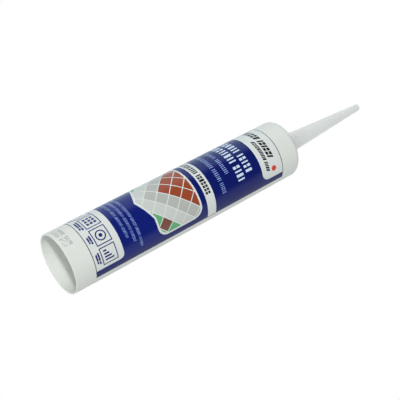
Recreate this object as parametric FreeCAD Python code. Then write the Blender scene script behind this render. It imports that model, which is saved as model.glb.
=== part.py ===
import FreeCAD, Part
import math
import os

# A filled sealant cartridge that stands on its open rear rim, nozzle up.
# The origin is the centre of the rear rim's plane, +Z is the barrel's axis towards the nozzle,
# and the middle of the label's front panel faces -Y. All sizes are in millimetres.

# Barrel: one moulding with its front wall and its stub
barrel_radius = 24.8
barrel_wall = 1.4
barrel_length = 223.0
shoulder_radius = 4.0
front_wall = 2.0
rim_rounding = 0.3

# Lead-in at the rear mouth, where the piston and the push plate go in
mouth_widening = 0.15
mouth_length = 8.0
mouth_taper = 17.0

# Nozzle seat and stub on the front wall. The stub's bore is closed by a skin that is pierced before use,
# and its fine thread stands out from the root radius by the thread's depth
seat_radius = 9.5
seat_height = 0.8
stub_root_radius = 6.3
stub_length = 12.5
thread_depth = 0.6
stub_bore_radius = 4.5
stub_edge_rounding = 0.8
membrane = 0.8
small_rounding = 0.3

# Label: a thin film wrapped round the barrel, with a bare strip left between its two ends
label_glue = 0.03
label_thickness = 0.1
label_rear = 17.0
label_front = 203.0
label_end_from_front = 41.5
label_gap_width = 13.0

# Piston: a cup with a sealing lip at each end of its skirt
piston_recess = 27.0
piston_length = 19.0
piston_clearance = 0.08
piston_disc = 1.8
piston_skirt = 1.3
lip_height = 3.5
lip_depth = 0.6
lip_slope = 0.8
piston_corner = 2.0

# Sealant: what the piston pushes out
sealant_film = 0.05

# Nozzle: a tapered tube with a threaded socket and a closed tip that is cut before use
nozzle_length = 94.7
collar_radius = 8.5
collar_length = 13.2
collar_step = 0.7
tip_radius = 3.0
tip_rounding = 1.0
tip_closure = 2.0
nozzle_wall = 1.1
thread_clearance = 0.2
socket_end_clearance = 0.6

# Derived places and sizes
bore_radius = barrel_radius - barrel_wall
mouth_radius = bore_radius + mouth_widening
chamber_top = barrel_length - front_wall
inner_shoulder_radius = shoulder_radius - barrel_wall
seat_top = barrel_length + seat_height
stub_top = seat_top + stub_length
piston_front = piston_recess + piston_length
socket_radius = stub_root_radius + thread_depth + thread_clearance
socket_top = stub_top + socket_end_clearance
nozzle_tip = seat_top + nozzle_length
collar_top = seat_top + collar_length
cone_radius = collar_radius - collar_step
passage_radius = cone_radius - nozzle_wall
passage_tip_radius = tip_radius - nozzle_wall


def unit(start, end):
    """The direction from one point to another."""
    return (end - start).normalize()


def rounded_outline(points):
    """A closed outline in the XZ plane from (radius, height, corner rounding) points."""
    corners = [FreeCAD.Vector(radius, 0, height) for radius, height, _ in points]
    count = len(points)
    stops = []
    for index, (_, _, rounding) in enumerate(points):
        corner = corners[index]
        if rounding == 0:
            stops.append((corner, None, corner))
            continue
        back = unit(corner, corners[index - 1])
        ahead = unit(corner, corners[(index + 1) % count])
        half_angle = back.getAngle(ahead) / 2
        reach = rounding / math.tan(half_angle)
        middle_reach = rounding / math.sin(half_angle) - rounding
        middle = corner + (back + ahead).normalize() * middle_reach
        stops.append((corner + back * reach, middle, corner + ahead * reach))
    edges = []
    for index, (arc_start, middle, arc_end) in enumerate(stops):
        if middle is not None:
            edges.append(Part.Arc(arc_start, middle, arc_end).toShape())
        next_start = stops[(index + 1) % count][0]
        edges.append(Part.makeLine(arc_end, next_start))
    return Part.Wire(edges)


def turned(points, degrees=360):
    """A solid of revolution about Z."""
    face = Part.Face(rounded_outline(points))
    return face.revolve(FreeCAD.Vector(0, 0, 0), FreeCAD.Vector(0, 0, 1), degrees)


def make_barrel():
    """A round tube, open at the rear, with a closed stub on its front wall."""
    return turned([
        (mouth_radius, 0, rim_rounding),
        (barrel_radius, 0, rim_rounding),
        (barrel_radius, barrel_length, shoulder_radius),
        (seat_radius, barrel_length, 0),
        (seat_radius, seat_top, small_rounding),
        (stub_root_radius, seat_top, 0),
        (stub_root_radius, stub_top, stub_edge_rounding),
        (0, stub_top, 0),
        (0, stub_top - membrane, 0),
        (stub_bore_radius, stub_top - membrane, small_rounding),
        (stub_bore_radius, chamber_top, small_rounding),
        (bore_radius, chamber_top, inner_shoulder_radius),
        (bore_radius, mouth_length + mouth_taper, 0),
        (mouth_radius, mouth_length, 0),
    ])


def make_label():
    """A film round the barrel, from one side of the bare strip to the other."""
    inside = barrel_radius + label_glue
    outside = inside + label_thickness
    gap_angle = math.degrees(label_gap_width / outside)
    end_angle = math.degrees(label_end_from_front / outside) - 90
    film = turned([
        (inside, label_rear, 0),
        (outside, label_rear, 0),
        (outside, label_front, 0),
        (inside, label_front, 0),
    ], 360 - gap_angle)
    film.rotate(FreeCAD.Vector(0, 0, 0), FreeCAD.Vector(0, 0, 1), end_angle + gap_angle)
    return film


def make_piston():
    """A cup that is open to the rear, with two lips that wipe the bore."""
    lip_radius = bore_radius - piston_clearance
    waist_radius = lip_radius - lip_depth
    skirt_inside = waist_radius - piston_skirt
    return turned([
        (0, piston_front, 0),
        (lip_radius, piston_front, inner_shoulder_radius),
        (lip_radius, piston_front - lip_height, 0),
        (waist_radius, piston_front - lip_height - lip_slope, 0),
        (waist_radius, piston_recess + lip_height + lip_slope, 0),
        (lip_radius, piston_recess + lip_height, 0),
        (lip_radius, piston_recess, small_rounding),
        (skirt_inside, piston_recess, small_rounding),
        (skirt_inside, piston_front - piston_disc, piston_corner),
        (0, piston_front - piston_disc, 0),
    ])


def make_sealant():
    """The filling between the piston and the skin of the stub."""
    fill_radius = bore_radius - sealant_film
    plug_radius = stub_bore_radius - sealant_film
    return turned([
        (0, piston_front, 0),
        (fill_radius, piston_front, 0),
        (fill_radius, chamber_top - sealant_film, inner_shoulder_radius),
        (plug_radius, chamber_top - sealant_film, 0),
        (plug_radius, stub_top - membrane - sealant_film, small_rounding),
        (0, stub_top - membrane - sealant_film, 0),
    ])


def make_nozzle():
    """A tapered tube with a round collar, which screws onto the stub."""
    return turned([
        (socket_radius, seat_top, small_rounding),
        (collar_radius, seat_top, small_rounding),
        (collar_radius, collar_top, small_rounding),
        (cone_radius, collar_top + collar_step, small_rounding),
        (tip_radius, nozzle_tip, tip_rounding),
        (0, nozzle_tip, 0),
        (0, nozzle_tip - tip_closure, 0),
        (passage_tip_radius, nozzle_tip - tip_closure, 0),
        (passage_radius, socket_top, 0),
        (socket_radius, socket_top, 0),
    ])


def main():
    """Write one STEP file for each piece."""
    pieces = {
        "barrel": make_barrel(),
        "label": make_label(),
        "piston": make_piston(),
        "sealant": make_sealant(),
        "nozzle": make_nozzle(),
    }
    os.makedirs("parts", exist_ok=True)
    for name, shape in pieces.items():
        shape.exportStep(f"parts/{name}.step")
        print(name, "valid", shape.isValid(), "solids", len(shape.Solids), "cm3", round(shape.Volume / 1000, 2))


main()
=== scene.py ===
import math
import random

import bpy
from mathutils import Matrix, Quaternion, Vector
from mathutils.geometry import delaunay_2d_cdt


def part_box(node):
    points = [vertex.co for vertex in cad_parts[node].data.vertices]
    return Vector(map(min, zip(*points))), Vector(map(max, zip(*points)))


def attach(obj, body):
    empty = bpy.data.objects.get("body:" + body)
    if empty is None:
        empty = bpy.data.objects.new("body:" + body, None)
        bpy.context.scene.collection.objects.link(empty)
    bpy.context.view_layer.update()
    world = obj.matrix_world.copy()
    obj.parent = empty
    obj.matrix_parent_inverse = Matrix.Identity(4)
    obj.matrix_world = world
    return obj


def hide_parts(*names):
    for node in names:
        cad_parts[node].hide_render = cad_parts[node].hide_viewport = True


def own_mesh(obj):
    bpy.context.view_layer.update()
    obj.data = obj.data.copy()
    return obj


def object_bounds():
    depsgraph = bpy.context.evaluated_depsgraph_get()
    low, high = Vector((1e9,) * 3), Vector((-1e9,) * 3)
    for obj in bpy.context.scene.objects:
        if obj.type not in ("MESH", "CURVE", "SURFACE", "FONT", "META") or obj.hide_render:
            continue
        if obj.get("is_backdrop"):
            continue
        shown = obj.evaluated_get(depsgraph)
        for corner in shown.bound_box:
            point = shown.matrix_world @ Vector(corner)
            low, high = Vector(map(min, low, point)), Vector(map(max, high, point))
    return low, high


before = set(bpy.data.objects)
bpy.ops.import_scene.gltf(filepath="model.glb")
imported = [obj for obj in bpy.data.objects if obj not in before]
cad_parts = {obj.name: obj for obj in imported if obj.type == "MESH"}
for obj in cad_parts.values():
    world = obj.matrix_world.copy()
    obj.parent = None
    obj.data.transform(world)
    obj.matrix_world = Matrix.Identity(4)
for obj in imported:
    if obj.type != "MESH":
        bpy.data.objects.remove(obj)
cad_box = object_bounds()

# The cartridge stands on its open rear rim, with +Z along its axis towards the nozzle.
# The middle of the label's front panel faces -Y. Blender's lengths are metres, and the
# label is drawn flat in millimetres: u runs round the barrel from the front line,
# counterclockwise seen from the nozzle, and z is the height above the rear rim.
MM = 0.001

# Camera: where it stands, the point it looks at, its roll and its lens
CAMERA_PLACE = Vector((0.34839, -0.52128, -0.20568))
CAMERA_TARGET = Vector((0.005961, 0.003925, 0.130189))
CAMERA_ROLL = 61.94
CAMERA_LENS = 79.186
CAMERA_SENSOR = 36.0

# The world's even light, as a share of white, and the part of it that is added from below and
# taken away from above
AMBIENT = 0.36
AMBIENT_SLOPE = 0.9
# Lamps: shares of white that reach a surface facing them
KEY_SHARE = 0.47
REAR_SHARE = 0.18
LEFT_SHARE = 0.25
RIGHT_SHARE = 0.36
TOP_SHARE = 0.62
# Directions from the object to each lamp: azimuth from +X towards +Y, and elevation
KEY_AIM = (-65.0, -15.3)
REAR_AIM = (-35.0, -50.0)
LEFT_AIM = (-155.0, 12.0)
RIGHT_AIM = (75.0, 12.0)
TOP_AIM = (125.0, 63.0)
LAMP_DISTANCE = 3.0
KEY_SIZE = 0.22
FILL_SIZE = 1.0
TOP_SIZE = 1.8
# What glossy surfaces mirror: a dark side at this azimuth, and a bright one to its left and right.
# The edges are cosines of the angle from the middle of the dark side. Left and right blend into
# each other over this cosine on either side of that middle
STUDIO_DARK_AZIMUTH = -57.0
STUDIO_DARK = 0.08
STUDIO_LEFT = (0.72, 0.86, 0.96, 1.0)
STUDIO_RIGHT = (0.5, 0.53, 0.55, 1.0)
STUDIO_BRIGHT_EDGE = 0.3
STUDIO_DARK_EDGE = 0.66
STUDIO_BLEND = 0.5

# Floor: a disc that fades into the white background
FLOOR_RADIUS = 1.5
FLOOR_FADE_START = 0.25
FLOOR_FADE_END = 1.1
# Added to the floor where the camera sees it, so that it comes out near white and keeps its shadow
FLOOR_LIFT = 0.2

# Sizes read from the frame. The label's sheet lies a little inside the frame's label
label_low, label_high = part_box("label")
_, barrel_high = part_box("barrel")
sealant_low, sealant_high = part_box("sealant")
LABEL_INSET = 0.005 * MM
LABEL_RADIUS = min(-label_low.x, -label_low.y, label_high.x, label_high.y) - LABEL_INSET
LABEL_REAR = round(label_low.z / MM, 3)
LABEL_FRONT = round(label_high.z / MM, 3)
# Height of the front wall's inside, where the piston presses the sealant to
CHAMBER_TOP = 0.221

# Label ends, the film's thickness and the columns that it is cut into, in millimetres
LABEL_RIGHT = 41.5
LABEL_GAP = 13.0
FILM_THICKNESS = 0.085
COLUMN_WIDTH = 1.0
FILM_ROUGHNESS = 0.17

# Label layout, in millimetres: the white zone at each end, the picture panel and the white strip.
# A side is half a width, and the knee is where the picture panel's point begins
REAR_ZONE_SIDE = 34.7
REAR_ZONE_TOP = 42.5
REAR_ZONE_ROUNDING = 4
FRONT_ZONE_SIDE = 35.2
FRONT_ZONE_REAR = 180.8
FRONT_ZONE_ROUNDING = 7
PICTURE_SIDE = 35.2
PICTURE_REAR = 75.0
PICTURE_FRONT = 117.7
PICTURE_TIP = 67.5
PICTURE_KNEE = 17.7
KNEE_ROUNDING = 3
# How much further than its other corners the panel's tip moves inward with a margin
TIP_MARGIN = 1.3
STRIP_REAR, STRIP_FRONT = 122.6, 131.0
EDGE_LINE = 0.6
# Rows of marks: the extra gap between groups and the height of a stacked block, as shares of the
# row's height, and the width of all but the thin bars, as a multiple of a thin bar's
WORD_GAP = 0.3
BLOCK_HEIGHT = 0.44
BOLD_WIDTH = 1.7


def tone(red, green, blue):
    """A screen colour of 0 to 255 values, as the linear colour that a shader takes."""
    linear = []
    for value in (red, green, blue):
        share = value / 255
        linear.append(share / 12.92 if share <= 0.04045 else ((share + 0.055) / 1.055) ** 2.4)
    return (*linear, 1.0)


def heading(azimuth, elevation):
    """The unit vector of an azimuth from +X towards +Y and an elevation, in degrees."""
    a, e = math.radians(azimuth), math.radians(elevation)
    return Vector((math.cos(a) * math.cos(e), math.sin(a) * math.cos(e), math.sin(e)))


def add_object(name, data):
    """A new object in the scene."""
    made = bpy.data.objects.new(name, data)
    bpy.context.scene.collection.objects.link(made)
    return made


def add_mesh(name, vertices, faces, *materials):
    """A new mesh object in the scene, with these materials."""
    mesh = bpy.data.meshes.new(name)
    mesh.from_pydata(vertices, [], faces)
    for material in materials:
        mesh.materials.append(material)
    return add_object(name, mesh)


# Shader helpers


def add_node(tree, kind, **inputs):
    """A new shader node, with the values of its named inputs. Underscores stand for spaces."""
    made = tree.nodes.new(kind)
    for name, value in inputs.items():
        made.inputs[name.replace("_", " ")].default_value = value
    return made


def object_place(tree):
    """The point being shaded, in the object's own coordinates."""
    return tree.nodes.new("ShaderNodeTexCoord").outputs["Object"]


def noise(tree, scale, detail=2.0, stretch=(1, 1, 1)):
    """A 0 to 1 noise fixed to the object. Stretch scales the noise along each axis."""
    mapping = add_node(tree, "ShaderNodeMapping", Scale=stretch)
    texture = add_node(tree, "ShaderNodeTexNoise", Scale=scale, Detail=detail)
    tree.links.new(object_place(tree), mapping.inputs["Vector"])
    tree.links.new(mapping.outputs["Vector"], texture.inputs["Vector"])
    return texture.outputs["Fac"]


def ranged(tree, source, low, high, from_low=0.0, from_high=1.0, smooth=False):
    """The source's stretch from from_low to from_high, mapped onto low to high."""
    step = tree.nodes.new("ShaderNodeMapRange")
    if smooth:
        step.interpolation_type = "SMOOTHSTEP"
    values = {"From Min": from_low, "From Max": from_high, "To Min": low, "To Max": high}
    for name, value in values.items():
        step.inputs[name].default_value = value
    tree.links.new(source, step.inputs["Value"])
    return step.outputs["Result"]


def mixed(tree, share, first, second):
    """A colour between first and second. Each is a colour or another node's output."""
    mix = tree.nodes.new("ShaderNodeMix")
    mix.data_type = "RGBA"
    tree.links.new(share, mix.inputs["Factor"])
    for socket, value in (("A_Color", first), ("B_Color", second)):
        target = next(i for i in mix.inputs if i.identifier == socket)
        if isinstance(value, bpy.types.NodeSocket):
            tree.links.new(value, target)
        else:
            target.default_value = value
    return next(o for o in mix.outputs if o.identifier == "Result_Color")


def calculated(tree, operation, first, second):
    """Two values put through one operation of a Math node."""
    step = tree.nodes.new("ShaderNodeMath")
    step.operation = operation
    tree.links.new(first, step.inputs[0])
    tree.links.new(second, step.inputs[1])
    return step.outputs[0]


def varied(colour, share):
    """The colour with each channel scaled by 1 plus share."""
    return (*[min(1.0, channel * (1 + share)) for channel in colour[:3]], 1.0)


def set_colour(tree, shader, share, first, second):
    """Gives the shader a base colour that wanders between two colours."""
    tree.links.new(mixed(tree, share, first, second), shader.inputs["Base Color"])


def set_roughness(tree, shader, share, low, high):
    """Gives the shader a roughness that wanders between two values."""
    tree.links.new(ranged(tree, share, low, high), shader.inputs["Roughness"])


def set_bump(tree, shader, height, distance):
    """Puts a bump of that depth in metres on the shader."""
    bump = add_node(tree, "ShaderNodeBump", Distance=distance, Strength=1.0)
    tree.links.new(height, bump.inputs["Height"])
    tree.links.new(bump.outputs["Normal"], shader.inputs["Normal"])


def new_material(name):
    """A material with its shader tree and its main shader."""
    material = bpy.data.materials.new(name)
    material.use_nodes = True
    tree = material.node_tree
    return material, tree, tree.nodes["Principled BSDF"]


# Materials


def moulded_plastic(name, colour, roughness, glow=0.0, grain=0.00001):
    """Plain moulded plastic: cloudy colour, a fine grain and uneven gloss."""
    material, tree, shader = new_material(name)
    cloud = noise(tree, scale=45, detail=3)
    set_colour(tree, shader, cloud, varied(colour, -0.035), varied(colour, 0.03))
    gloss = noise(tree, scale=160, detail=4, stretch=(1, 1, 0.25))
    set_roughness(tree, shader, gloss, roughness - 0.07, roughness + 0.07)
    set_bump(tree, shader, noise(tree, scale=2600, detail=3), grain)
    shader.inputs["Subsurface Weight"].default_value = glow
    shader.inputs["Subsurface Radius"].default_value = (1.0, 0.95, 0.85)
    shader.inputs["Subsurface Scale"].default_value = 0.002
    return material


def milky_plastic(name, colour, roughness, grain):
    """Moulded plastic that lets a little light through, which evens out its shading."""
    material = moulded_plastic(name, colour, roughness, grain=grain)
    shader = material.node_tree.nodes["Principled BSDF"]
    shader.inputs["Diffuse Roughness"].default_value = 0.3
    shader.inputs["Sheen Weight"].default_value = 0.5
    shader.inputs["Sheen Roughness"].default_value = 0.6
    return material


def sealant_paste(name):
    """A clear-white paste with soft folds."""
    material, tree, shader = new_material(name)
    cloud = noise(tree, scale=60)
    set_colour(tree, shader, cloud, tone(206, 210, 208), tone(222, 225, 222))
    set_roughness(tree, shader, noise(tree, scale=120), 0.18, 0.3)
    set_bump(tree, shader, noise(tree, scale=180), 0.0003)
    shader.inputs["Subsurface Weight"].default_value = 0.3
    shader.inputs["Subsurface Scale"].default_value = 0.004
    return material


def film_finish(tree, shader):
    """Glossy film: it lies in faint long waves, and its gloss is a little uneven."""
    gloss = noise(tree, scale=220, detail=3)
    set_roughness(tree, shader, gloss, FILM_ROUGHNESS - 0.04, FILM_ROUGHNESS + 0.06)
    waves = noise(tree, scale=55, detail=1.5, stretch=(1, 1, 0.5))
    set_bump(tree, shader, waves, 0.00006)


def ink(name, colour, mottle=0.04):
    """One printed colour under the film, slightly mottled as print is."""
    material, tree, shader = new_material(name)
    grain = noise(tree, scale=900, detail=3)
    set_colour(tree, shader, grain, varied(colour, -mottle), varied(colour, mottle))
    film_finish(tree, shader)
    return material


def field_ink(name, rear, front):
    """The label's ground colour, which deepens along the barrel, with painted shade that darkens
    it towards its sides and back.
    """
    front_start, front_end = 0.07, 0.14
    # Where the painted shade towards the sides and back begins and ends, along Y
    shade_start, shade_end = -0.006, 0.004
    material, tree, shader = new_material(name)
    axes = tree.nodes.new("ShaderNodeSeparateXYZ")
    tree.links.new(object_place(tree), axes.inputs["Vector"])
    along = ranged(tree, axes.outputs["Z"], 0, 1, front_start, front_end, smooth=True)
    painted_shade_share = ranged(tree, axes.outputs["Y"], 0, 1, shade_start, shade_end, smooth=True)
    length_tone = mixed(tree, along, rear, front)
    # Painted shade: the ground is darkened towards the sides and back
    shaded_tone = mixed(tree, painted_shade_share, length_tone, varied(front, -0.35))
    grain = ranged(tree, noise(tree, scale=900, detail=3), 0.0, 0.12)
    set_colour(tree, shader, grain, shaded_tone, (0, 0, 0, 1))
    film_finish(tree, shader)
    return material


def make_inks():
    """The label's colours, in the order of its material slots."""
    return {
        "white": ink("ink_white", tone(224, 231, 228), 0.012),
        "navy": field_ink("ink_navy", tone(10, 29, 120), tone(8, 24, 106)),
        "frost": ink("ink_frost", tone(209, 229, 250), 0.02),
        "pale": ink("ink_pale", tone(160, 187, 248), 0.03),
        "black": ink("ink_black", tone(34, 36, 40)),
        "grey_line": ink("ink_grey_line", tone(52, 58, 60)),
        "blue": ink("ink_blue", tone(30, 38, 116)),
        "light_grey": ink("ink_light_grey", tone(206, 212, 208), 0.02),
        "mid_grey": ink("ink_mid_grey", tone(184, 189, 184), 0.03),
        "terracotta": ink("ink_terracotta", tone(157, 74, 45)),
        "brown": ink("ink_brown", tone(126, 82, 70)),
        "green": ink("ink_green", tone(101, 178, 124)),
        "red": ink("ink_red", tone(216, 62, 48)),
    }


# The label: flat shapes, cut into one sheet and wrapped round the barrel


def rounded(corners, step_angle=12):
    """An outline from (u, z, rounding) corners, given counterclockwise."""
    points = []
    count = len(corners)
    for index, (u, z, rounding) in enumerate(corners):
        corner = Vector((u, z))
        if rounding == 0:
            points.append(corner)
            continue
        back = (Vector(corners[index - 1][:2]) - corner).normalized()
        ahead = (Vector(corners[(index + 1) % count][:2]) - corner).normalized()
        half = back.angle(ahead) / 2
        centre = corner + (back + ahead).normalized() * (rounding / math.sin(half))
        start = corner + back * (rounding / math.tan(half)) - centre
        turn = math.pi - 2 * half
        if back.x * ahead.y - back.y * ahead.x > 0:
            turn = -turn
        steps = max(2, round(abs(math.degrees(turn)) / step_angle))
        for step in range(steps + 1):
            angle = turn * step / steps
            swung = Vector((start.x * math.cos(angle) - start.y * math.sin(angle),
                            start.x * math.sin(angle) + start.y * math.cos(angle)))
            points.append(centre + swung)
    return points


def rectangle(left, rear, right, front, rounding=0):
    """A rectangle's outline, with its corners rounded alike."""
    corners = ((left, rear), (right, rear), (right, front), (left, front))
    return rounded([(u, z, rounding) for u, z in corners])


def circle(u, z, radius, sides=20):
    """A round outline."""
    turns = [2 * math.pi * side / sides for side in range(sides)]
    return [Vector((u + radius * math.cos(t), z + radius * math.sin(t))) for t in turns]


class Drawing:
    """Flat shapes in ink. A later shape covers an earlier one.

    A shape that has a window shows only inside it.
    """

    def __init__(self):
        self.shapes = []

    def add(self, ink_name, outline, window=None):
        """Adds a shape and returns its number. A shape with no ink can serve as a window."""
        self.shapes.append((ink_name, outline, window))
        return len(self.shapes) - 1

    def ink_over(self, covering):
        """The ink that shows where the shapes with these numbers lie over each other."""
        for number in sorted(covering, reverse=True):
            ink_name, _, window = self.shapes[number]
            if ink_name and (window is None or window in covering):
                return ink_name
        return None

    def cut(self, left, right, rear, front):
        """Cuts the sheet along each outline and each column, into (points, triangles, inks)."""
        points = []
        faces = []
        for _, outline, _ in self.shapes:
            faces.append(list(range(len(points), len(points) + len(outline))))
            points.extend(outline)
        columns = math.ceil((right - left) / COLUMN_WIDTH)
        edges = []
        for column in range(1, columns):
            u = left + (right - left) * column / columns
            edges.append((len(points), len(points) + 1))
            points.extend([Vector((u, rear)), Vector((u, front))])
        # Type 1 keeps the triangles inside the outlines. The last number is the merging distance
        cut_points, _, triangles, _, _, sources = delaunay_2d_cdt(points, edges, faces, 1, 1e-5)
        inks = [self.ink_over(set(covering)) for covering in sources]
        return cut_points, triangles, inks


def add_bar(drawing, ink_name, left, rear, width, height, slant):
    """An upright bar, or one that leans by slant."""
    lean = slant * height
    drawing.add(ink_name, [
        Vector((left, rear)), Vector((left + width, rear)),
        Vector((left + width + lean, rear + height)), Vector((left + lean, rear + height))])


def add_mark(drawing, ink_name, left, rear, height, kind, stroke, slant):
    """One abstract mark of a row: a thin bar, a bold one or two stacked blocks.

    It returns the mark's width.
    """
    if kind == "thin":
        add_bar(drawing, ink_name, left, rear, stroke, height, slant)
        return stroke
    width = BOLD_WIDTH * stroke
    if kind == "bold":
        add_bar(drawing, ink_name, left, rear, width, height, slant)
        return width
    block = BLOCK_HEIGHT * height
    rise = height - block
    add_bar(drawing, ink_name, left, rear, width, block, slant)
    add_bar(drawing, ink_name, left + slant * rise, rear + rise, width, block, slant)
    return width


def mark_row(drawing, seed, ink_name, span, rear, front, weight, slant=0.0, word=(6, 11)):
    """A row of abstract marks in groups, where the label has a line of print.

    Span is where it starts and ends. Weight is the thin bars' width and the gap between marks,
    as shares of the row's height. Word is the least and the most marks in a group.
    """
    draw = random.Random(seed)
    height = front - rear
    place, right = span
    stroke, gap = weight
    left_in_word = draw.randint(*word)
    while place < right - 2 * stroke * height:
        kind = draw.choice(("thin", "bold", "split", "thin"))
        place += add_mark(drawing, ink_name, place, rear, height, kind, stroke * height, slant)
        place += gap * height
        left_in_word -= 1
        if left_in_word == 0:
            place += WORD_GAP * height
            left_in_word = draw.randint(*word)


def draw_grounds(drawing, left, right):
    """The ground colour, the white zone at each end, the white strip and their thin edge lines."""
    rear, front = LABEL_REAR, LABEL_FRONT
    drawing.add("navy", rectangle(left, rear, right, front))
    drawing.add("white", rounded([
        (-REAR_ZONE_SIDE, rear, 0), (REAR_ZONE_SIDE, rear, 0),
        (REAR_ZONE_SIDE, REAR_ZONE_TOP, REAR_ZONE_ROUNDING),
        (-REAR_ZONE_SIDE, REAR_ZONE_TOP, REAR_ZONE_ROUNDING)]))
    drawing.add("white", rectangle(left, STRIP_REAR, right, STRIP_FRONT))
    drawing.add("white", rounded([
        (-FRONT_ZONE_SIDE, FRONT_ZONE_REAR, FRONT_ZONE_ROUNDING),
        (FRONT_ZONE_SIDE, FRONT_ZONE_REAR, FRONT_ZONE_ROUNDING),
        (FRONT_ZONE_SIDE, front, 0), (-FRONT_ZONE_SIDE, front, 0)]))
    for side, line_rear in ((REAR_ZONE_SIDE, rear), (FRONT_ZONE_SIDE, front - EDGE_LINE)):
        drawing.add("grey_line", rectangle(-side, line_rear, side, line_rear + EDGE_LINE))
    drawing.add("grey_line", rectangle(right - EDGE_LINE, STRIP_REAR, right, STRIP_FRONT))


def pointed_panel(margin, tip_rounding, corner_rounding):
    """The picture panel's outline, moved inward by the margin."""
    side = PICTURE_SIDE - margin
    rear, front = PICTURE_REAR + margin, PICTURE_FRONT - margin
    return rounded([
        (0, PICTURE_TIP + TIP_MARGIN * margin, tip_rounding),
        (PICTURE_KNEE, rear, KNEE_ROUNDING),
        (side, rear, corner_rounding), (side, front, corner_rounding),
        (-side, front, corner_rounding), (-side, rear, corner_rounding),
        (-PICTURE_KNEE, rear, KNEE_ROUNDING)])


def draw_picture(drawing):
    """The pointed white panel, filled with tiles up to its margin."""
    drawing.add("white", pointed_panel(margin=0, tip_rounding=1.5, corner_rounding=9))
    window = drawing.add(None, pointed_panel(margin=1.6, tip_rounding=1, corner_rounding=8))
    draw_tiles(drawing, window)


def draw_tiles(drawing, window):
    """Square tiles set on their corners, which change colour from one chevron to the next."""
    reach, joint = 6.6, 0.5
    first_row, rows, columns_aside = PICTURE_TIP + 2, 9, 5
    chevrons = ("light_grey", "mid_grey", "terracotta", "terracotta", "light_grey")
    for row in range(rows):
        z = first_row + row * reach
        for column in range(-columns_aside, columns_aside + 1):
            if (row + column) % 2:
                continue
            u = column * reach
            chevron = (row - abs(column)) // 2
            edge_tile = "green" if column % 2 else "brown"
            tile = chevrons[chevron] if chevron >= 0 else edge_tile
            outline = [Vector((u, z - reach + joint)), Vector((u + reach - joint, z)),
                       Vector((u, z + reach - joint)), Vector((u - reach + joint, z))]
            drawing.add(tile, outline, window)


def draw_boxes(drawing):
    """Four outlined boxes with plain signs in them, and a short caption under each."""
    first, pitch, width, border = -27.9, 15.4, 13.8, 0.8
    rear, front = 24.0, 37.3
    caption_rears, caption_height = (21.4, 19.5), 1.4
    caption_sides, second_shorter = (5.5, 5.8, 3.4, 4.6), 0.9
    caption_words = ((-1, 0.4), (0.5, 1))
    for number, sign in enumerate(BOX_SIGNS):
        left = first + number * pitch
        right = left + width
        middle = Vector((left + width / 2, (rear + front) / 2))
        drawing.add("blue", rectangle(left, rear, right, front))
        drawing.add("white", rectangle(left + border, rear + border,
                                       right - border, front - border))
        sign(drawing, middle)
        for line, line_rear in enumerate(caption_rears):
            side = caption_sides[number] - second_shorter * line
            for start, end in caption_words:
                drawing.add("blue", rectangle(middle.x + start * side, line_rear,
                                              middle.x + end * side, line_rear + caption_height))


def sign_tiles(drawing, middle):
    """Nine small squares."""
    pitch, half = 3.1, 1.1
    for row in (-1, 0, 1):
        for column in (-1, 0, 1):
            u, z = middle.x + pitch * column, middle.y + pitch * row
            drawing.add("blue", rectangle(u - half, z - half, u + half, z + half))


def sign_rings(drawing, middle):
    """A ring with a dot in it."""
    for ink_name, radius in (("blue", 4.3), ("white", 3.3), ("blue", 1.5)):
        drawing.add(ink_name, circle(middle.x, middle.y, radius))


def sign_bars(drawing, middle):
    """Upright bars that grow in height."""
    first, pitch, width = -4.4, 2.4, 1.3
    foot, lowest_top, growth = 4.0, 1.2, 1.6
    for bar in range(4):
        left = middle.x + first + pitch * bar
        top = middle.y - lowest_top + growth * bar
        drawing.add("blue", rectangle(left, middle.y - foot, left + width, top))


def sign_corner(drawing, middle):
    """Two strokes that meet in a corner, with a round spot between them."""
    aside, reach, stroke = -3.6, 7.6, 1.0
    spot_place, spot_radius = 4.0, 1.9
    corner = middle + Vector((aside, aside))
    drawing.add("blue", rectangle(corner.x, corner.y, corner.x + stroke, corner.y + reach))
    drawing.add("blue", rectangle(corner.x, corner.y, corner.x + reach, corner.y + stroke))
    drawing.add("blue", circle(corner.x + spot_place, corner.y + spot_place, spot_radius))


BOX_SIGNS = (sign_corner, sign_tiles, sign_rings, sign_bars)


def draw_rows(drawing):
    """Rows of abstract marks where the label has lines of print, and one red dot."""
    lean = 0.35
    fine, heavy, bold, broad = (0.1, 0.3), (0.2, 0.26), (0.26, 0.15), (0.3, 0.13)
    mark_row(drawing, 11, "pale", (-21, 21), 47.5, 49.8, fine, lean)
    mark_row(drawing, 12, "pale", (-26, 26), 52.5, 54.8, fine, lean)
    mark_row(drawing, 13, "pale", (-33, 33.5), 57.5, 59.8, fine, lean)
    mark_row(drawing, 14, "black", (-21.5, 21.5), 124.3, 128.9, bold, word=(10, 16))
    mark_row(drawing, 15, "pale", (-26.7, 26.7), 139.0, 142.7, fine)
    mark_row(drawing, 16, "pale", (-14.7, 14.7), 147.8, 151.3, fine)
    mark_row(drawing, 17, "frost", (-27.5, 27.7), 156.5, 163.2, heavy, word=(7, 10))
    mark_row(drawing, 18, "frost", (-21.3, 21.2), 166.1, 172.5, heavy, word=(6, 9))
    mark_row(drawing, 19, "black", (-20.7, 20.7), 190.7, 196.2, broad, lean, word=(6, 9))
    mark_row(drawing, 20, "black", (-2, 27.5), 185.6, 189.0, broad, lean)
    drawing.add("red", circle(27.5, 193.4, 2.4))


def draw_back(drawing, left):
    """Two bare white panels on the back, which the photograph does not show."""
    panel_left, panel_right, rounding = left + 8, -REAR_ZONE_SIDE - 12, 6
    for rear, front in ((30, 112), (141, 192)):
        drawing.add("white", rectangle(panel_left, rear, panel_right, front, rounding))


def outward(u):
    """The direction from the axis to u on the wrapped label."""
    angle = -math.pi / 2 + u * MM / label_high.x
    return Vector((math.cos(angle), math.sin(angle), 0))


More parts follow.
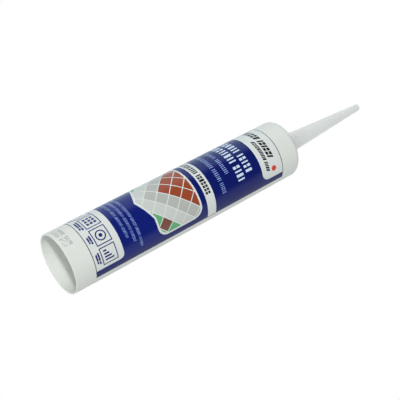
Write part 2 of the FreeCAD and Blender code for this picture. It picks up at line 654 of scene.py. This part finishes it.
def film_sheet(points, triangles):
    """The wrapped sheet: its vertices, its outer and inner faces, and the walls between them."""
    count = len(points)
    inner_radius = LABEL_RADIUS - FILM_THICKNESS * MM
    vertices = []
    for radius in (LABEL_RADIUS, inner_radius):
        vertices += [outward(p.x) * radius + Vector((0, 0, p.y * MM)) for p in points]
    outer = [tuple(t) for t in triangles]
    inner = [tuple(corner + count for corner in reversed(t)) for t in outer]
    edges = {(a, b) for t in outer for a, b in zip(t, t[1:] + t[:1])}
    walls = [(b, a, a + count, b + count) for a, b in sorted(edges) if (b, a) not in edges]
    return vertices, outer, inner, walls


def smooth_round_axis(mesh, outer_count, inner_count):
    """Shades the outer and inner faces as true cylinders, and leaves the walls flat."""
    mesh.polygons.foreach_set("use_smooth", [True] * len(mesh.polygons))
    normals = []
    for polygon in mesh.polygons:
        side = 1 if polygon.index < outer_count else -1
        wall = polygon.index >= outer_count + inner_count
        for corner in polygon.vertices:
            place = mesh.vertices[corner].co
            out = Vector((place.x, place.y, 0)).normalized() * side
            normals.append(polygon.normal if wall else out)
    mesh.normals_split_custom_set(normals)


def make_label(inks):
    """The printed film, a closed sheet whose faces carry the inks."""
    right = LABEL_RIGHT
    left = LABEL_RIGHT + LABEL_GAP - 2 * math.pi * label_high.x / MM
    drawing = Drawing()
    draw_grounds(drawing, left, right)
    draw_picture(drawing)
    draw_boxes(drawing)
    draw_rows(drawing)
    draw_back(drawing, left)
    points, triangles, ink_names = drawing.cut(left, right, LABEL_REAR, LABEL_FRONT)
    vertices, outer, inner, walls = film_sheet(points, triangles)
    label = add_mesh("label_film", vertices, outer + inner + walls, *inks.values())
    order = list(inks)
    slots = [order.index(name) for name in ink_names] + [0] * (len(inner) + len(walls))
    label.data.polygons.foreach_set("material_index", slots)
    smooth_round_axis(label.data, len(outer), len(inner))
    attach(label, "barrel")
    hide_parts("label")


# Other pieces


def make_stub_thread(material):
    """The screw ridge round the stub under the nozzle, whose ends run out to almost nothing."""
    root, crest, lowest = 6.2, 6.9, 0.02
    pitch, start, turns = 3.0, 225.3, 3.2
    steps_per_turn = 64
    root_half, crest_half = 0.95, 0.35
    run_out = 0.12
    steps = round(turns * steps_per_turn)
    vertices = []
    for step in range(steps + 1):
        turn = step / steps_per_turn
        height = min(1.0, turn / run_out, (turns - turn) / run_out)
        top = root + (crest - root) * max(lowest, height)
        middle = start + pitch * turn
        out = Vector((math.cos(2 * math.pi * turn), math.sin(2 * math.pi * turn), 0))
        section = ((root, -root_half), (top, -crest_half), (top, crest_half), (root, root_half))
        for radius, rise in section:
            vertices.append((out * radius + Vector((0, 0, middle + rise))) * MM)
    faces = [(3, 2, 1, 0)]
    for step in range(steps):
        near = 4 * step
        for side in range(4):
            after = (side + 1) % 4
            faces.append((near + side, near + after, near + 4 + after, near + 4 + side))
    last = 4 * steps
    faces.append((last, last + 1, last + 2, last + 3))
    thread = add_mesh("stub_thread", vertices, faces, material)
    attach(thread, "barrel")


def dot_places():
    """Where the faint dots lie: two bands of an even grid with gaps, each in two groups."""
    draw = random.Random(5)
    left, pitch, columns, between_groups = -14.3, 0.85, 24, (12, 13)
    row_pitch, rows, skipped = 0.82, 4, 0.42
    for band_rear in (2.9, 6.9):
        for row in range(rows):
            for column in range(columns):
                if draw.random() < skipped or column in between_groups:
                    continue
                yield left + column * pitch, band_rear + row * row_pitch


def make_batch_dots(material):
    """Faint marks on the bare rear of the barrel, each a thin disc sunk in its wall."""
    radius, sides = 0.32, 8
    proud, sunk = 0.012, 0.02
    top = barrel_high.x / MM + proud
    bottom = barrel_high.x / MM - sunk
    vertices = []
    faces = []
    for u, z in dot_places():
        first = len(vertices)
        for depth in (top, bottom):
            for spot in circle(u, z, radius, sides):
                vertices.append((outward(spot.x) * depth + Vector((0, 0, spot.y))) * MM)
        faces.append(tuple(range(first, first + sides)))
        faces.append(tuple(range(first + 2 * sides - 1, first + sides - 1, -1)))
        for side in range(sides):
            after = (side + 1) % sides
            below = first + sides
            faces.append((first + after, first + side, below + side, below + after))
    dots = add_mesh("batch_dots", vertices, faces, material)
    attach(dots, "barrel")


def lathe(name, outline, material, sides=96):
    """A turned solid from (radius, z) points in metres. The first and the last lie on the axis."""
    vertices = [(0, 0, outline[0][1])]
    for radius, z in outline[1:-1]:
        for side in range(sides):
            turn = 2 * math.pi * side / sides
            vertices.append((radius * math.cos(turn), radius * math.sin(turn), z))
    vertices.append((0, 0, outline[-1][1]))
    last = len(vertices) - 1
    rings = len(outline) - 2
    faces = []
    for side in range(sides):
        after = (side + 1) % sides
        faces.append((0, 1 + after, 1 + side))
        for ring in range(rings - 1):
            near, far = 1 + ring * sides, 1 + (ring + 1) * sides
            faces.append((near + side, near + after, far + after, far + side))
        top = 1 + (rings - 1) * sides
        faces.append((top + side, top + after, last))
    turned = add_mesh(name, vertices, faces, material)
    turned.data.polygons.foreach_set("use_smooth", [True] * len(faces))
    turned.data.set_sharp_from_angle(angle=math.radians(35))
    return turned


def make_sealant(material):
    """The filling, which the piston presses flat, and its plug in the stub's bore."""
    side_gap, front_gap = 0.02 * MM, 0.05 * MM
    edge, corner, corner_steps = 0.4 * MM, 2.6 * MM, 6
    radius = sealant_high.x - side_gap
    rear = sealant_low.z
    front = CHAMBER_TOP - front_gap
    outline = [(0, rear), (radius - edge, rear), (radius, rear + edge), (radius, front - corner)]
    for step in range(1, corner_steps + 1):
        angle = math.radians(90 * step / corner_steps)
        outline.append((radius - corner * (1 - math.cos(angle)),
                        front - corner * (1 - math.sin(angle))))
    outline.append((0, front))
    filling = lathe("sealant_filling", outline, material)
    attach(filling, "barrel")
    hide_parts("sealant")
    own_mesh(filling)
    make_sealant_plug(material, front)


def make_sealant_plug(material, rear):
    """What stays in the stub's bore, in front of the filling."""
    radius = 4.4 * MM
    edge = 0.3 * MM
    front = sealant_high.z
    outline = [(0, rear), (radius, rear), (radius, front - edge),
               (radius - edge, front), (0, front)]
    plug = lathe("sealant_plug", outline, material, sides=48)
    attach(plug, "barrel")


def dress_node(name, material):
    """Gives a node of the frame its finish."""
    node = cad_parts[name]
    node.data.materials.clear()
    node.data.materials.append(material)


# Stage


def make_camera():
    """The photograph's camera, which looks up at the open rear end."""
    data = bpy.data.cameras.new("camera")
    data.lens = CAMERA_LENS
    data.sensor_width = CAMERA_SENSOR
    camera = add_object("camera", data)
    camera.rotation_mode = "QUATERNION"
    aim = (CAMERA_TARGET - CAMERA_PLACE).to_track_quat("-Z", "Y")
    camera.rotation_quaternion = aim @ Quaternion((0, 0, 1), math.radians(CAMERA_ROLL))
    camera.location = CAMERA_PLACE
    bpy.context.scene.camera = camera


def make_lamp(name, aim, size, share):
    """A square softbox. Share is the part of white that it gives a surface facing it.

    It lights without a mirror image, because glossy surfaces mirror the world's studio.
    """
    data = bpy.data.lights.new(name, "AREA")
    data.size = size
    data.energy = share * (math.pi * LAMP_DISTANCE) ** 2
    lamp = add_object(name, data)
    middle = Vector((0, 0, (cad_box[0].z + cad_box[1].z) / 2))
    out = heading(*aim)
    lamp.location = middle + out * LAMP_DISTANCE
    lamp.rotation_mode = "QUATERNION"
    lamp.rotation_quaternion = (-out).to_track_quat("-Z", "Y")
    lamp.visible_glossy = False


def along_heading(tree, direction):
    """How far a ray of the world goes that way: 1 straight along it, -1 straight against it."""
    dot = tree.nodes.new("ShaderNodeVectorMath")
    dot.operation = "DOT_PRODUCT"
    dot.inputs[1].default_value = direction
    tree.links.new(tree.nodes.new("ShaderNodeTexCoord").outputs["Generated"], dot.inputs[0])
    return dot.outputs["Value"]


def studio_colour(tree):
    """What gloss mirrors: a dark side, and bright ones to its left and right."""
    dark_side = along_heading(tree, heading(STUDIO_DARK_AZIMUTH, 0))
    right_side = along_heading(tree, heading(STUDIO_DARK_AZIMUTH + 90, 0))
    rightness = ranged(tree, right_side, 0, 1, -STUDIO_BLEND, STUDIO_BLEND)
    bright = mixed(tree, rightness, STUDIO_LEFT, STUDIO_RIGHT)
    darkness = ranged(tree, dark_side, 0, 1, STUDIO_BRIGHT_EDGE, STUDIO_DARK_EDGE, smooth=True)
    return mixed(tree, darkness, bright, (STUDIO_DARK, STUDIO_DARK, STUDIO_DARK, 1))


def make_world():
    """White where the camera sees it, even soft light, and a studio with a dark side for gloss."""
    world = bpy.data.worlds.new("studio")
    world.use_nodes = True
    bpy.context.scene.world = world
    tree = world.node_tree
    background = tree.nodes["Background"]
    path = tree.nodes.new("ShaderNodeLightPath")
    upward = along_heading(tree, (0, 0, 1))
    from_below, from_above = AMBIENT * (1 + AMBIENT_SLOPE), AMBIENT * (1 - AMBIENT_SLOPE)
    even = ranged(tree, upward, from_below, from_above, -1, 1)
    plain = mixed(tree, path.outputs["Is Glossy Ray"], even, studio_colour(tree))
    seen = calculated(tree, "MAXIMUM", path.outputs["Is Camera Ray"],
                      path.outputs["Is Transmission Ray"])
    tree.links.new(mixed(tree, seen, plain, (1, 1, 1, 1)), background.inputs["Color"])


def floor_finish():
    """A pale matt floor that only the camera sees, from above, and that fades with distance."""
    material, tree, shader = new_material("floor_pale")
    output = tree.nodes["Material Output"]
    grain = noise(tree, scale=30, detail=3)
    set_colour(tree, shader, grain, tone(243, 244, 245), tone(248, 248, 248))
    shader.inputs["Roughness"].default_value = 0.9
    shader.inputs["Specular IOR Level"].default_value = 0.0
    shader.inputs["Emission Color"].default_value = (1, 1, 1, 1)
    shader.inputs["Emission Strength"].default_value = FLOOR_LIFT
    path = tree.nodes.new("ShaderNodeLightPath")
    geometry = tree.nodes.new("ShaderNodeNewGeometry")
    length = tree.nodes.new("ShaderNodeVectorMath")
    length.operation = "LENGTH"
    tree.links.new(object_place(tree), length.inputs[0])
    distance = length.outputs["Value"]
    near = ranged(tree, distance, 1, 0, FLOOR_FADE_START, FLOOR_FADE_END, smooth=True)
    from_above = ranged(tree, geometry.outputs["Backfacing"], 1, 0)
    near_above = calculated(tree, "MULTIPLY", near, from_above)
    seen = calculated(tree, "MULTIPLY", near_above, path.outputs["Is Camera Ray"])
    clear = tree.nodes.new("ShaderNodeBsdfTransparent")
    mix = tree.nodes.new("ShaderNodeMixShader")
    tree.links.new(seen, mix.inputs["Fac"])
    tree.links.new(clear.outputs["BSDF"], mix.inputs[1])
    tree.links.new(shader.outputs["BSDF"], mix.inputs[2])
    tree.links.new(mix.outputs["Shader"], output.inputs["Surface"])
    return material


def make_floor():
    """The disc that the object stands on."""
    sides = 96
    turns = [2 * math.pi * side / sides for side in range(sides)]
    rim = [(FLOOR_RADIUS * math.cos(t), FLOOR_RADIUS * math.sin(t), 0) for t in turns]
    add_mesh("floor", rim, [tuple(range(sides))], floor_finish())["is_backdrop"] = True


def write_sizes():
    """Gathers the frame's box and the dressed object's box, and keeps neither."""
    boxes = {"cad": cad_box, "visual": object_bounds()}
    {name: [list(corner) for corner in box] for name, box in boxes.items()}


def main():
    """Dresses the frame and sets the stage."""
    bpy.context.scene.view_settings.view_transform = "Standard"
    barrel = moulded_plastic("barrel_plastic", tone(229, 233, 228), 0.4, glow=0.08, grain=0.000005)
    dress_node("barrel", barrel)
    nozzle = milky_plastic("nozzle_plastic", tone(225, 229, 228), 0.45, grain=0.000002)
    dress_node("nozzle", nozzle)
    piston = moulded_plastic("piston_plastic", tone(214, 217, 210), 0.45, glow=0.15)
    dress_node("piston", piston)
    make_label(make_inks())
    make_stub_thread(barrel)
    make_batch_dots(ink("mark_grey", tone(142, 147, 144)))
    make_sealant(sealant_paste("sealant_paste"))
    make_camera()
    make_world()
    make_lamp("key_softbox", KEY_AIM, KEY_SIZE, KEY_SHARE)
    make_lamp("rear_softbox", REAR_AIM, FILL_SIZE, REAR_SHARE)
    make_lamp("left_fill", LEFT_AIM, FILL_SIZE, LEFT_SHARE)
    make_lamp("right_fill", RIGHT_AIM, FILL_SIZE, RIGHT_SHARE)
    make_lamp("top_softbox", TOP_AIM, TOP_SIZE, TOP_SHARE)
    make_floor()
    write_sizes()


main()
